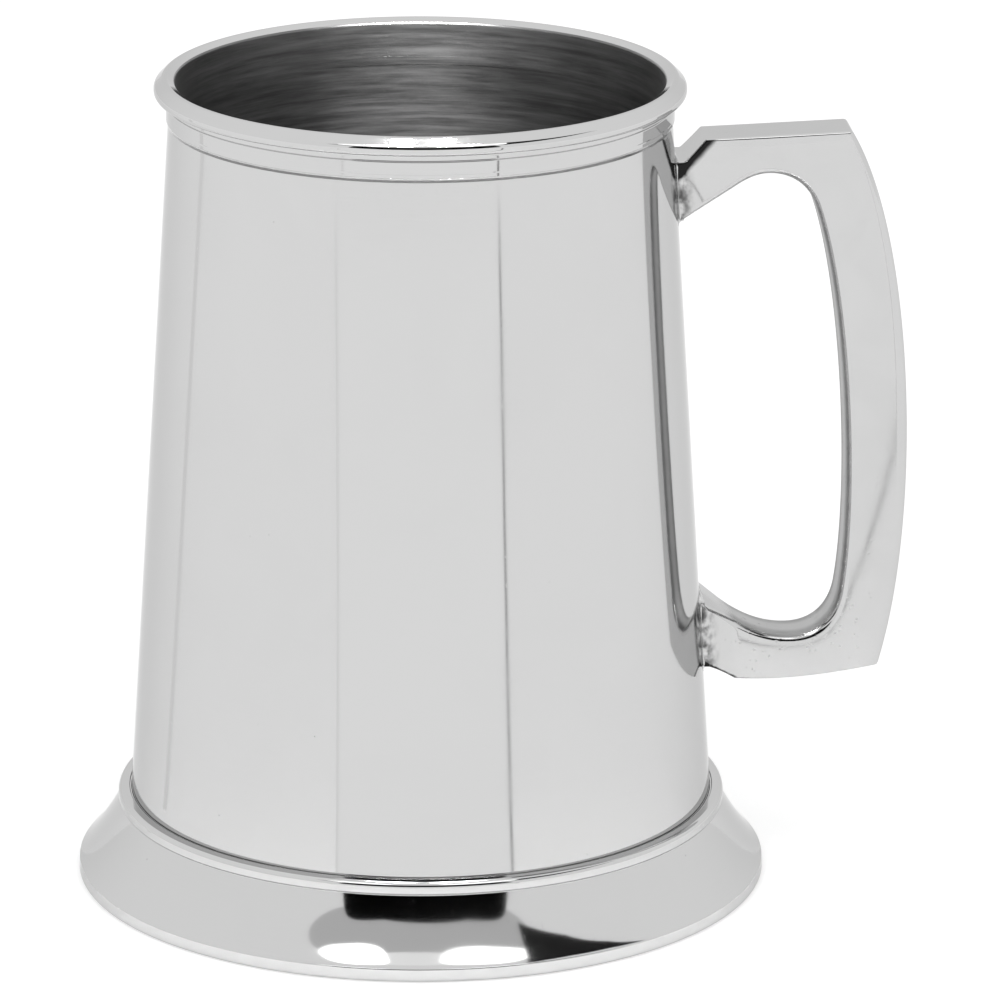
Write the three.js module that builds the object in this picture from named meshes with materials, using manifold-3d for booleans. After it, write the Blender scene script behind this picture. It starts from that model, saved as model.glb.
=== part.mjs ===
// Pewter tankard: spun tapered barrel, mouth mount, base disc, flared foot and cast loop handle, soldered up.
// Millimetres, +Z up. The origin is the centre of the whole footprint, handle included, on the table.
import * as THREE from 'three';
import { mergeVertices } from 'three/addons/utils/BufferGeometryUtils.js';
import Module from 'manifold-3d';

const wasm = await Module();
wasm.setup();

// ---- driving dimensions: body ----
const OVERALL_HEIGHT = 125;
const MOUTH_RADIUS = 37.75; // barrel's outer radius at its top end
const BARREL_TAPER = 6.85; // how much wider its outer radius is at the bottom end
const BARREL_WALL = 1.1;

const MOUNT_HEIGHT = 6.7; // mouth mount, from its bottom face to the lip's crest
const LIP_OVERHANG = 1.85; // how far the rolled lip stands out past the barrel
const LIP_DEPTH = 3; // from the lip's crest to its underside
const LIP_CREST_INSET = 1; // from the lip's outside to its highest point
const LIP_FALL = 0.8; // how far the lip's top slopes down towards the drink
const LIP_WIDEST_DROP = 1.2; // from the crest down to where the lip is widest
const BAND_HEIGHT = 2.3;
const BAND_PROUD = 0.3; // how far the reeded band stands out past the barrel
const BAND_EDGE = 0.3; // height of the bevels along the band's two edges
const MOUNT_NECK_INSET = 0.1; // the hollow neck between band and lip

const FOOT_HEIGHT = 13.25; // from the table to the top of the foot's collar
const FOOT_SPREAD = 8.1; // how far the foot's edge stands out past the barrel's end
const FOOT_WALL = 1.4;
const FOOT_EDGE_HEIGHT = 2.4; // the nearly upright edge at the very bottom
const FOOT_EDGE_ROUND = 0.4;
const FOOT_HEM_WIDTH = 3.3; // sheet turned in under the foot, the ring that touches the table
const COLLAR_DEPTH = 2.9; // how deep the barrel's end sits in the collar
const COLLAR_LAND = 0.4; // flat on the collar's top, inside the roll
const COLLAR_ROLL = 1.25; // radius of the small roll round the collar's top
const NECK_HEIGHT = 4.05; // steep part of the foot, below the roll
const NECK_SPREAD = 1.7;

const BASE_THICKNESS = 1.4;
const BASE_FLANGE = 2.1; // height of the disc's turned-down edge
const BASE_CROWN = 0.8; // how far the disc is pushed up in the middle
const BASE_FLAT = 3; // flat margin between the flange and the crown

// ---- driving dimensions: handle ----
const HANDLE_TOP_DROP = 9.2; // from the lip's crest down to the handle's top corner
const HANDLE_FOOT_GAP = 18.25; // from the collar's top up to the handle's lower corner
const HANDLE_REACH = 33.2; // from the barrel to the outside of the grip, at mid height
const HANDLE_WIDTH = 8.5;
const HANDLE_WALL = 1.7;
const GRIP_THICKNESS = 9; // from the inside of the grip to the outside
const CORNER_INSET = 6.45; // how far the two outer corners sit in from the bow
const BOW_FULLNESS = 2.55; // how far the bow is drawn out past the reach between its corners
const UPPER_ARM_THICKNESS = 6;
const UPPER_BUTT_HEIGHT = 9.4;
const UPPER_BUTT_DROP = 4.1; // from the top corner down to the upper butt
const UPPER_CHAMFER_REACH = 4.6; // from the barrel to the top of the chamfer
const UPPER_CHAMFER_DROP = 0.85;
const LOWER_ARM_THICKNESS = 6.75;
const LOWER_BUTT_HEIGHT = 10.4;
const LOWER_BUTT_RISE = 1; // from the lower corner up to the lower butt
const LOWER_CHAMFER_REACH = 4.55;
const LOWER_CHAMFER_DROP = 1.65; // from the lower corner down to the foot of the chamfer
const UPPER_FLARE = 0.6; // how much each side face swells out at the upper butt
const LOWER_FLARE = 2.4;
const FLARE_LENGTH = 4.6; // from the edge of the solder to where the flare dies away
const EDGE_ROUND = 0.6;

// ---- driving dimensions: joints ----
const SOLDER_FILM = 0.3; // gap left for solder between two pieces
const SOLDER_GAP = 0.05; // clearance on each side of the solder in that gap
const SOLDER_FILLET = 0.8; // how far the solder stands out round a handle butt
const BUTT_GAP = 0.15; // clearance from a butt's faces to the solder round it

const SEGMENTS = 64;
const ARC_STEPS = 5;
const HANDLE_CURVE_STEPS = 12;
const BUTT_STEPS = 4;

// ---- sizes worked out from them ----
const MOUNT_BOTTOM = OVERALL_HEIGHT - MOUNT_HEIGHT;
const BARREL_TOP = MOUNT_BOTTOM - SOLDER_FILM;
const COLLAR_BOTTOM = FOOT_HEIGHT - COLLAR_DEPTH;
const BARREL_BOTTOM = COLLAR_BOTTOM + SOLDER_FILM;
const FOOT_RADIUS = MOUTH_RADIUS + BARREL_TAPER + FOOT_SPREAD;
const BASE_TOP = BARREL_BOTTOM + BASE_FLANGE;
const HANDLE_TOP = OVERALL_HEIGHT - HANDLE_TOP_DROP;
const HANDLE_BOTTOM = FOOT_HEIGHT + HANDLE_FOOT_GAP;
const HANDLE_MIDDLE = (HANDLE_TOP + HANDLE_BOTTOM) / 2;
const BUTT_EMBED = HANDLE_WALL + 2; // the butts are drawn this far into the barrel, then cut back

// outer radius of the barrel's cone at a height
function barrelRadius(z) {
  return MOUTH_RADIUS + (BARREL_TAPER * (BARREL_TOP - z)) / (BARREL_TOP - BARREL_BOTTOM);
}

// ---- materials ----
function pewter(color, roughness) {
  return new THREE.MeshStandardMaterial({ color, roughness, metalness: 1 });
}

const polished = () => pewter(0xd6d8da, 0.12);
const satin = () => pewter(0xb4b6b8, 0.35);
const solderFinish = () => pewter(0xb9bbbd, 0.3);

// ---- making and joining solids ----
// A profile is a closed outline of [radius, height] pairs, anticlockwise with radius to the right.
function lathe(profile) {
  const points = [...profile, profile[0]].map(([r, z]) => new THREE.Vector2(r, z));
  return new THREE.LatheGeometry(points, SEGMENTS).rotateX(Math.PI / 2);
}

function toSolid(geometry) {
  const bare = geometry.clone();
  bare.deleteAttribute('normal');
  bare.deleteAttribute('uv');
  const merged = mergeVertices(bare, 1e-4);
  const vertProperties = new Float32Array(merged.attributes.position.array);
  const triVerts = new Uint32Array(merged.index.array);
  return new wasm.Manifold(new wasm.Mesh({ numProp: 3, vertProperties, triVerts }));
}

function toGeometry(solid) {
  const mesh = solid.getMesh();
  const geometry = new THREE.BufferGeometry();
  geometry.setAttribute('position', new THREE.BufferAttribute(mesh.vertProperties, 3));
  geometry.setIndex(new THREE.BufferAttribute(mesh.triVerts, 1));
  geometry.computeVertexNormals();
  return geometry;
}

function piece(name, geometry, material) {
  const mesh = new THREE.Mesh(geometry, material);
  mesh.name = name;
  return mesh;
}

// points along a Path as [x, y] pairs, with each curve cut into a few steps
function pathPoints(path) {
  return path.getPoints(ARC_STEPS).map((p) => [p.x, p.y]);
}

// a copy of an open run of points moved sideways, to the left of the way it runs
function offsetRun(points, distance) {
  return points.map((point, i) => {
    const before = points[Math.max(i - 1, 0)];
    const after = points[Math.min(i + 1, points.length - 1)];
    const dx = after[0] - before[0];
    const dy = after[1] - before[1];
    const length = Math.hypot(dx, dy);
    return [point[0] - (dy / length) * distance, point[1] + (dx / length) * distance];
  });
}

// a ring that follows the barrel's cone between two heights and two offsets from its outer radius
function coneRing(low, high, inside, outside) {
  return lathe([
    [barrelRadius(low) + inside, low],
    [barrelRadius(low) + outside, low],
    [barrelRadius(high) + outside, high],
    [barrelRadius(high) + inside, high],
  ]);
}

// ---- barrel: an open cone of sheet ----
function makeBarrel() {
  return coneRing(BARREL_BOTTOM, BARREL_TOP, -BARREL_WALL, 0);
}

// ---- mouth mount: reeded band, hollow neck and rolled lip ----
function makeMouthMount() {
  const bore = MOUTH_RADIUS - BARREL_WALL;
  const neck = MOUTH_RADIUS - MOUNT_NECK_INSET;
  const band = MOUTH_RADIUS + BAND_PROUD;
  const lip = MOUTH_RADIUS + LIP_OVERHANG;
  const bandTop = MOUNT_BOTTOM + BAND_HEIGHT;
  const lipUnder = OVERALL_HEIGHT - LIP_DEPTH;
  const lipTurn = (lip + neck) / 2;
  const crest = lip - LIP_CREST_INSET;
  const outline = new THREE.Path();
  outline.moveTo(bore, MOUNT_BOTTOM);
  outline.lineTo(MOUTH_RADIUS, MOUNT_BOTTOM);
  outline.lineTo(band, MOUNT_BOTTOM + BAND_EDGE);
  outline.lineTo(band, bandTop - BAND_EDGE);
  outline.lineTo(neck, bandTop);
  outline.quadraticCurveTo(neck, lipUnder, lipTurn, lipUnder);
  outline.quadraticCurveTo(lip, lipUnder, lip, OVERALL_HEIGHT - LIP_WIDEST_DROP);
  outline.quadraticCurveTo(lip, OVERALL_HEIGHT, crest, OVERALL_HEIGHT);
  outline.quadraticCurveTo(neck, OVERALL_HEIGHT, bore, OVERALL_HEIGHT - LIP_FALL);
  return lathe(pathPoints(outline));
}

// ---- base disc: crowned, with its edge turned down for the solder ----
function makeBaseDisc() {
  const edge = (z) => barrelRadius(z) - BARREL_WALL - SOLDER_FILM;
  const flangeInside = edge(BARREL_BOTTOM) - BASE_THICKNESS;
  const crownEdge = flangeInside - BASE_FLAT;
  const under = BASE_TOP - BASE_THICKNESS;
  return lathe([
    [0, under + BASE_CROWN],
    [crownEdge, under],
    [flangeInside, under],
    [flangeInside, BARREL_BOTTOM],
    [edge(BARREL_BOTTOM), BARREL_BOTTOM],
    [edge(BASE_TOP), BASE_TOP],
    [crownEdge, BASE_TOP],
    [0, BASE_TOP + BASE_CROWN],
  ]);
}

// ---- foot: collar with a small roll, steep neck, hollow cove and upright edge, all of one sheet ----
const collarRadius = (z) => barrelRadius(z) + SOLDER_FILM;
const NECK_TOP = [collarRadius(FOOT_HEIGHT) + COLLAR_LAND + COLLAR_ROLL, FOOT_HEIGHT - COLLAR_ROLL];
const NECK_FOOT = [NECK_TOP[0] + NECK_SPREAD, NECK_TOP[1] - NECK_HEIGHT];

// the foot's outside from the top of its edge up the cove and the neck
function footSkirt() {
  const width = FOOT_RADIUS - NECK_FOOT[0];
  const fall = NECK_FOOT[1] - FOOT_EDGE_HEIGHT;
  const turn = [NECK_FOOT[0] + width * 0.66, FOOT_EDGE_HEIGHT + fall * 0.32];
  const skirt = new THREE.Path();
  skirt.moveTo(FOOT_RADIUS - 0.15, FOOT_EDGE_HEIGHT);
  skirt.quadraticCurveTo(FOOT_RADIUS - width * 0.07, FOOT_EDGE_HEIGHT + fall * 0.12, ...turn);
  skirt.quadraticCurveTo(NECK_FOOT[0] + width * 0.2, NECK_FOOT[1] - fall * 0.32, ...NECK_FOOT);
  skirt.lineTo(...NECK_TOP);
  return pathPoints(skirt);
}

function footRoll() {
  const roll = new THREE.Path();
  roll.moveTo(...NECK_TOP);
  roll.quadraticCurveTo(NECK_TOP[0], FOOT_HEIGHT, NECK_TOP[0] - COLLAR_ROLL, FOOT_HEIGHT);
  return pathPoints(roll).slice(1);
}

function makeFoot() {
  const hemInside = FOOT_RADIUS - FOOT_HEM_WIDTH;
  const skirt = footSkirt();
  const lining = offsetRun(skirt.slice(1), FOOT_WALL).reverse();
  const openLining = lining.filter(([, z]) => z < COLLAR_BOTTOM - SOLDER_FILM && z > FOOT_WALL);
  return lathe([
    [hemInside, 0],
    [FOOT_RADIUS - FOOT_EDGE_ROUND, 0],
    [FOOT_RADIUS, FOOT_EDGE_ROUND],
    [FOOT_RADIUS, FOOT_EDGE_HEIGHT * 0.6],
    ...skirt,
    ...footRoll(),
    [collarRadius(FOOT_HEIGHT), FOOT_HEIGHT],
    [collarRadius(COLLAR_BOTTOM), COLLAR_BOTTOM],
    ...openLining,
    [FOOT_RADIUS - FOOT_WALL, FOOT_WALL],
    [hemInside, FOOT_WALL],
  ]);
}

// ---- thin rings of solder between the round pieces ----
function makeMouthSolder() {
  const low = BARREL_TOP + SOLDER_GAP;
  const high = MOUNT_BOTTOM - SOLDER_GAP;
  const inside = MOUTH_RADIUS - BARREL_WALL;
  return lathe([[inside, low], [MOUTH_RADIUS, low], [MOUTH_RADIUS, high], [inside, high]]);
}

function makeBaseSolder() {
  const inside = SOLDER_GAP - BARREL_WALL - SOLDER_FILM;
  return coneRing(BARREL_BOTTOM, BASE_TOP, inside, -BARREL_WALL - SOLDER_GAP);
}

function makeFootSolder() {
  return coneRing(BARREL_BOTTOM, FOOT_HEIGHT - SOLDER_GAP, SOLDER_GAP, SOLDER_FILM - SOLDER_GAP);
}

// ---- handle: a squared loop drawn from the side, standing off the barrel's slope ----
const at = (standoff, z) => [barrelRadius(z) + standoff, z];
const below = (standoff, drop) => at(standoff, HANDLE_TOP - drop);
const above = (standoff, rise) => at(standoff, HANDLE_BOTTOM + rise);

// a straight run in several steps, so that the flare near a butt has points to bend
function lineInSteps(path, to) {
  const from = path.currentPoint.clone();
  for (let i = 1; i <= BUTT_STEPS; i += 1) {
    const t = i / BUTT_STEPS;
    path.lineTo(from.x + (to[0] - from.x) * t, from.y + (to[1] - from.y) * t);
  }
}

// notch, chamfer, top edge, bow, bottom edge and lower chamfer
function addOuterSide(path) {
  const corner = HANDLE_REACH - CORNER_INSET;
  const swell = HANDLE_REACH + BOW_FULLNESS;
  path.moveTo(...below(-BUTT_EMBED, UPPER_BUTT_DROP));
  path.lineTo(...below(0, UPPER_BUTT_DROP));
  path.lineTo(...below(UPPER_CHAMFER_REACH * 0.32, UPPER_BUTT_DROP));
  lineInSteps(path, below(UPPER_CHAMFER_REACH, UPPER_CHAMFER_DROP));
  path.lineTo(...below(corner, 0));
  path.bezierCurveTo(...below(swell, 16.2), ...above(swell - 0.7, 22.9), ...above(corner, 0));
  path.quadraticCurveTo(...above(corner / 2, -2.5), ...above(LOWER_CHAMFER_REACH, -LOWER_CHAMFER_DROP));
  lineInSteps(path, above(LOWER_CHAMFER_REACH * 0.18, LOWER_BUTT_RISE));
  path.lineTo(...above(0, LOWER_BUTT_RISE));
  path.lineTo(...above(-BUTT_EMBED, LOWER_BUTT_RISE));
}

// the finger gap: lower sweep, lower corner, inside of the grip, upper corner and upper slope
function addInnerSide(path) {
  const grip = HANDLE_REACH - GRIP_THICKNESS;
  const buttTop = LOWER_BUTT_RISE + LOWER_BUTT_HEIGHT;
  const floor = LOWER_ARM_THICKNESS - LOWER_CHAMFER_DROP;
  const roof = UPPER_ARM_THICKNESS + UPPER_CHAMFER_DROP / 2;
  const buttDrop = UPPER_BUTT_DROP + UPPER_BUTT_HEIGHT;
  path.lineTo(...above(-BUTT_EMBED, buttTop));
  path.lineTo(...above(0.2, buttTop));
  const lowest = above(grip - 10.8, floor);
  const highest = below(grip - 10.3, roof);
  path.bezierCurveTo(...above(4.6, buttTop - 3.4), ...above(grip - 16.2, floor), ...lowest);
  path.bezierCurveTo(...above(grip - 6.8, floor), ...above(grip - 4, floor + 2.4), ...above(grip - 3, 11.6));
  path.bezierCurveTo(...above(grip + 0.3, 26.5), ...below(grip + 0.6, 26.1), ...below(grip - 3.3, 11.9));
  path.bezierCurveTo(...below(grip - 4.2, roof + 2), ...below(grip - 6.8, roof), ...highest);
  const slopeTop = below(grip - 16, roof + 2.2);
  path.bezierCurveTo(...below(grip - 12.6, roof), ...below(grip - 14.6, roof + 1.3), ...slopeTop);
  lineInSteps(path, below(0, buttDrop));
  path.lineTo(...below(-BUTT_EMBED, buttDrop));
}

function handleOutline() {
  const outline = new THREE.Shape();
  addOuterSide(outline);
  addInnerSide(outline);
  outline.closePath();
  return outline;
}

// extra half-width of the side faces where they near the barrel, all of it as far out as the solder reaches
function flareAt(x, z) {
  const pastSolder = Math.max(x - barrelRadius(z) - SOLDER_FILLET, 0);
  const nearness = Math.max(1 - pastSolder / FLARE_LENGTH, 0);
  return (z > HANDLE_MIDDLE ? UPPER_FLARE : LOWER_FLARE) * nearness ** 2;
}

// the loop as a solid, grown by a margin (shrunk when it is negative), with its edges bevelled
function handleSolid(margin, edge) {
  const halfWidth = HANDLE_WIDTH / 2 + margin;
  const geometry = new THREE.ExtrudeGeometry(handleOutline(), {
    depth: 2 * (halfWidth - edge),
    curveSegments: HANDLE_CURVE_STEPS,
    bevelEnabled: true,
    bevelThickness: edge,
    bevelSize: edge,
    bevelOffset: margin - edge,
    bevelSegments: 2,
  });
  geometry.translate(0, 0, edge - halfWidth);
  geometry.rotateX(Math.PI / 2);
  const position = geometry.attributes.position;
  for (let i = 0; i < position.count; i += 1) {
    const flare = flareAt(position.getX(i), position.getZ(i));
    position.setY(i, position.getY(i) * (1 + flare / halfWidth));
  }
  return toSolid(geometry);
}

// the hollow left when the cast metal is poured back out, open at both butts
function handleCore(clearance) {
  return handleSolid(-HANDLE_WALL - clearance, EDGE_ROUND / 2);
}

// the barrel's cone as a solid to cut with, grown by an offset
function coneSolid(offset) {
  const wide = [barrelRadius(0) + offset, 0];
  const narrow = [barrelRadius(OVERALL_HEIGHT) + offset, OVERALL_HEIGHT];
  return toSolid(lathe([[0, 0], wide, narrow, [0, OVERALL_HEIGHT]]));
}

function makeHandle() {
  const loop = handleSolid(0, EDGE_ROUND).subtract(handleCore(0));
  return toGeometry(loop.subtract(coneSolid(SOLDER_FILM)));
}

// a box round the upper half of the handle or the lower
function halfSpace(upper) {
  const tall = HANDLE_TOP - HANDLE_BOTTOM;
  const wide = 2 * FOOT_RADIUS;
  const box = new THREE.BoxGeometry(wide, wide, tall);
  box.translate(wide / 2, 0, HANDLE_MIDDLE + (upper ? tall / 2 : -tall / 2));
  return toSolid(box);
}

// Film under each butt's wall and a collar round it. The bare loop is cut away as well as the grown one,
// because the two split their flared faces into triangles differently.
function makeHandleSolders() {
  const sleeve = coneSolid(SOLDER_FILLET).subtract(coneSolid(SOLDER_GAP));
  const grown = handleSolid(SOLDER_FILLET, EDGE_ROUND).intersect(sleeve);
  const loops = handleSolid(BUTT_GAP, EDGE_ROUND).add(handleSolid(0, EDGE_ROUND));
  const metal = loops.subtract(coneSolid(SOLDER_FILM - SOLDER_GAP));
  const seams = grown.subtract(metal).subtract(handleCore(BUTT_GAP));
  return [true, false].map((upper) => toGeometry(seams.intersect(halfSpace(upper))));
}

// ---- the assembly ----
const handle = makeHandle();
handle.computeBoundingBox();
const [upperSolder, lowerSolder] = makeHandleSolders();

const tankard = new THREE.Group();
tankard.add(
  piece('barrel', makeBarrel(), polished()),
  piece('mouth_mount', makeMouthMount(), polished()),
  piece('base_disc', makeBaseDisc(), satin()),
  piece('foot', makeFoot(), polished()),
  piece('handle', handle, polished()),
  piece('mouth_solder', makeMouthSolder(), solderFinish()),
  piece('base_solder', makeBaseSolder(), solderFinish()),
  piece('foot_solder', makeFootSolder(), solderFinish()),
  piece('handle_upper_solder', upperSolder, solderFinish()),
  piece('handle_lower_solder', lowerSolder, solderFinish()),
);
tankard.position.x = (FOOT_RADIUS - handle.boundingBox.max.x) / 2;

export default tankard;
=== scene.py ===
# %% [markdown]
# # A pewter tankard, from the fixed frame to the studio
# The CAD model says where everything is and how big it is. This script keeps all of that and gives every
# piece its fine surface: turned outlines with true rounded edges, a lofted handle, solder that creeps up the
# joints, and metal finishes built from nodes. The first job is always to load the frame, because every
# size below starts from it. The CAD box is kept at once, to compare with the finished pieces.

# %% Load the frame
import math

import bpy
import numpy as np
from mathutils import Matrix, Vector


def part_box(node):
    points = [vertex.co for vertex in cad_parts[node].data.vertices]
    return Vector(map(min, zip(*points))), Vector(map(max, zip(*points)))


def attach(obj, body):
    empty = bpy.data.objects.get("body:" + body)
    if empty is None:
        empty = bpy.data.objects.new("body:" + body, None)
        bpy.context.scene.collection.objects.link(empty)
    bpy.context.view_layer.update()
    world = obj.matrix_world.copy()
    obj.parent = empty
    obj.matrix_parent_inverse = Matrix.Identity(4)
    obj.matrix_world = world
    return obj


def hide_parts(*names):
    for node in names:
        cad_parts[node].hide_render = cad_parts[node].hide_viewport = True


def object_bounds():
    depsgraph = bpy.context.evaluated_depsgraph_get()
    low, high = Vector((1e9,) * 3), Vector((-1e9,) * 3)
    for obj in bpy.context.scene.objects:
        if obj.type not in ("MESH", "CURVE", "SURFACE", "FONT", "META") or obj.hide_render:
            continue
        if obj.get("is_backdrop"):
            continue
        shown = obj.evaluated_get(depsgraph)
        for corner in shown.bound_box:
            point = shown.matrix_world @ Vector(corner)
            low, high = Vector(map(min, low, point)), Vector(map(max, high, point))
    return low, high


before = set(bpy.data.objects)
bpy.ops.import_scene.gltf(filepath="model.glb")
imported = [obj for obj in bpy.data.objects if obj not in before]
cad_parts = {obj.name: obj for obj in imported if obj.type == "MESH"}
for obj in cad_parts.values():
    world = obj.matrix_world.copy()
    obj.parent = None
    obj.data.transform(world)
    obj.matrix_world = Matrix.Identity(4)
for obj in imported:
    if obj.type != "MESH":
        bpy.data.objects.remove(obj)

cad_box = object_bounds()
print("CAD nodes:", ", ".join(sorted(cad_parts)))

# %% [markdown]
# ## Sizes from the frame
# A maker reads sizes off a drawing in millimetres, so the outlines are drawn in millimetres and turned into
# metres only when a mesh is made. The barrel is a cone, so its radius at any height follows from two boxes:
# its own, which gives the wide end, and that of the solder ring on its narrow end.

# %% Read the sizes
MM = 0.001  # one millimetre in metres


def box_mm(node):
    low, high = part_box(node)
    return [v / MM for v in low], [v / MM for v in high]


barrel_low, barrel_high = box_mm("barrel")
mount_low, mount_high = box_mm("mouth_mount")
foot_high = box_mm("foot")[1]
base_high = box_mm("base_disc")[1]
handle_low, handle_high = box_mm("handle")

AXIS_X = (barrel_low[0] + barrel_high[0]) / 2
BARREL_BOTTOM, BARREL_TOP = barrel_low[2], barrel_high[2]
BOTTOM_RADIUS = barrel_high[1]
MOUTH_RADIUS = box_mm("mouth_solder")[1][1]
FOOT_RADIUS, FOOT_TOP = foot_high[1], foot_high[2]
SHEET = 1.1  # thickness of the barrel's metal
FILM = 0.3  # room for solder between two pieces


def barrel_radius(z):
    """Outside radius of the barrel's cone at a height."""
    climb = (BARREL_TOP - z) / (BARREL_TOP - BARREL_BOTTOM)
    return MOUTH_RADIUS + (BOTTOM_RADIUS - MOUTH_RADIUS) * climb


print(f"mouth {MOUTH_RADIUS:.2f}, barrel end {BOTTOM_RADIUS:.2f}, foot {FOOT_RADIUS:.2f}, axis {AXIS_X:.2f}")

# %% [markdown]
# ## Turned outlines
# A lathe piece is judged by its edges: a spun or turned edge is never knife sharp, and on polished metal even
# a tenth of a millimetre of rounding catches a bright line. A bevel modifier could round them afterwards,
# but it leaves the wide faces next to it with bent shading. Drawing the outline as corners with a radius,
# and keeping the exact direction of the surface at each point, gives mirror-true reflections instead.

# %% Outline helper
ARC_STEP = math.radians(6)  # how far one step of a rounded corner turns


def turned(corners, closed=True):
    """Points and outward normals of an outline given as (radius, height, rounding) corners, anticlockwise."""
    count = len(corners)
    xy = np.array([c[:2] for c in corners], float)
    points, normals = [], []
    for i, (_, _, rounding) in enumerate(corners):
        end = not closed and i in (0, count - 1)
        before = xy[i] - xy[i - 1] if not (end and i == 0) else xy[1] - xy[0]
        after = xy[(i + 1) % count] - xy[i] if not (end and i) else before
        reach = 0.49 * min(np.hypot(*before), np.hypot(*after))
        before, after = before / np.hypot(*before), after / np.hypot(*after)
        turn = math.atan2(before[0] * after[1] - before[1] * after[0], before @ after)
        tangent = math.tan(abs(turn) / 2)
        length = 0 if end else min(rounding * tangent, reach)
        steps = max(int(math.ceil(abs(turn) / ARC_STEP)), 1) if length > 1e-6 else 0
        side = np.array([before[1], -before[0]])  # outward, to the right of the way the outline runs
        if not steps:
            middle = side + np.array([after[1], -after[0]])
            points.append(xy[i])
            normals.append(middle / np.hypot(*middle))
            continue
        start = xy[i] - before * length
        centre = start - side * (length / tangent) * math.copysign(1, turn)
        for k in range(steps + 1):
            angle = turn * k / steps
            c, s = math.cos(angle), math.sin(angle)
            facing = np.array([side[0] * c - side[1] * s, side[0] * s + side[1] * c])
            points.append(centre + facing * (length / tangent) * math.copysign(1, turn))
            normals.append(facing)
    return np.array(points), np.array(normals)


def bezier(points, steps=24):
    """Corners along a Bezier curve of three or four points, without its first point."""
    order = len(points) - 1
    found = []
    for k in range(1, steps + 1):
        t = k / steps
        weights = [math.comb(order, j) * (1 - t) ** (order - j) * t**j for j in range(order + 1)]
        found.append([sum(w * p[i] for w, p in zip(weights, points)) for i in (0, 1)] + [0])
    return found


# %% [markdown]
# ## Spinning an outline
# Blender's Screw modifier would turn an outline into a solid, but it would have to be applied and its
# normals fixed by hand. Writing the rings directly is a few lines, keeps the exact normals, and lets each
# strip of faces carry its own finish, such as satin inside the barrel and polish outside.

# %% Spin helper
AROUND = 256  # steps round a full turn


def new_object(name, verts_mm, faces, normals=None, inside=None):
    mesh = bpy.data.meshes.new(name)
    mesh.from_pydata([tuple(v * MM) for v in np.asarray(verts_mm)], [], faces)
    mesh.polygons.foreach_set("use_smooth", [True] * len(mesh.polygons))
    if inside is not None:
        mesh.polygons.foreach_set("material_index", inside)
    mesh.validate()
    mesh.update()
    if normals is not None:
        mesh.normals_split_custom_set_from_vertices([tuple(n) for n in normals])
    obj = bpy.data.objects.new(name, mesh)
    bpy.context.scene.collection.objects.link(obj)
    return obj


def spin(name, outline, closed=True):
    """A turned piece round the barrel's axis. Faces that look towards the axis take the second finish."""
    points, normals = outline
    verts, vert_normals, rings = [], [], []
    for (r, z), (nr, nz) in zip(points, normals):
        on_axis = r < 1e-6
        ring = []
        for k in range(1 if on_axis else AROUND):
            c, s = math.cos(math.tau * k / AROUND), math.sin(math.tau * k / AROUND)
            ring.append(len(verts))
            verts.append((AXIS_X + r * c, r * s, z))
            vert_normals.append((0, 0, math.copysign(1, nz)) if on_axis else (nr * c, nr * s, nz))
        rings.append(ring)
    faces, inside = [], []
    last = len(rings) if closed else len(rings) - 1
    for i in range(last):
        low, high = rings[i], rings[(i + 1) % len(rings)]
        faces_in = normals[i][0] + normals[(i + 1) % len(rings)][0] < -1
        for k in range(AROUND):
            a, b = low[k % len(low)], low[(k + 1) % len(low)]
            c, d = high[(k + 1) % len(high)], high[k % len(high)]
            faces.append(tuple(dict.fromkeys((a, b, c, d))))
            inside.append(1 if faces_in else 0)
    obj = new_object(name, verts, faces, vert_normals, inside)
    print(f"{name}: {len(points)} points in the outline, {len(faces)} faces")
    return obj


# %% [markdown]
# ## The barrel
# One piece of spun sheet, polished outside and left satin inside. Both ends are cut square. The outer edge
# at the bottom is lightly broken with a file, but the inner edges stay nearly sharp, because a wider
# rounding would catch a bright line that a soldered joint doesn't show.

# %% Spin the barrel
FILED = 0.18  # rounding left by a file on a cut edge
SCRAPED = 0.02  # rounding of an inner edge, scraped nearly sharp
BROKEN = 0.08  # rounding of the top end's outer edge, under the solder
BORE = MOUTH_RADIUS - SHEET

barrel = spin("spun_barrel", turned([
    (barrel_radius(BARREL_BOTTOM) - SHEET, BARREL_BOTTOM, SCRAPED),
    (barrel_radius(BARREL_BOTTOM), BARREL_BOTTOM, FILED),
    (MOUTH_RADIUS, BARREL_TOP, BROKEN),
    (BORE, BARREL_TOP, SCRAPED),
]))

# %% [markdown]
# ## The mouth mount
# A separate turned ring: a flat band with one scored line near its lower edge, a hollow neck, and a lip
# rolled over into a bead that slopes gently down towards the drink. The bead could be a full circle, but
# a spinner forms it over a tool in a few strokes, so it is drawn as a short upright side, a broad slope
# and rounded corners between. The slope is what gives the lip its one long highlight.

# %% Turn the mouth mount
LIP_DROP, LIP_SWELL = 0.35, 0.25  # the rolled lip sits lower and wider than the plain ring in the CAD
MOUNT_BOTTOM, CREST = mount_low[2], mount_high[2] - LIP_DROP
LIP = mount_high[1] + LIP_SWELL
BAND = MOUTH_RADIUS + FILM
NECK = MOUTH_RADIUS + 0.12
SCORE = MOUNT_BOTTOM + 0.62  # height of the scored line
SCORE_WIDTH, SCORE_DEPTH = 0.24, 0.015
BAND_TOP = MOUNT_BOTTOM + 2.45

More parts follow.
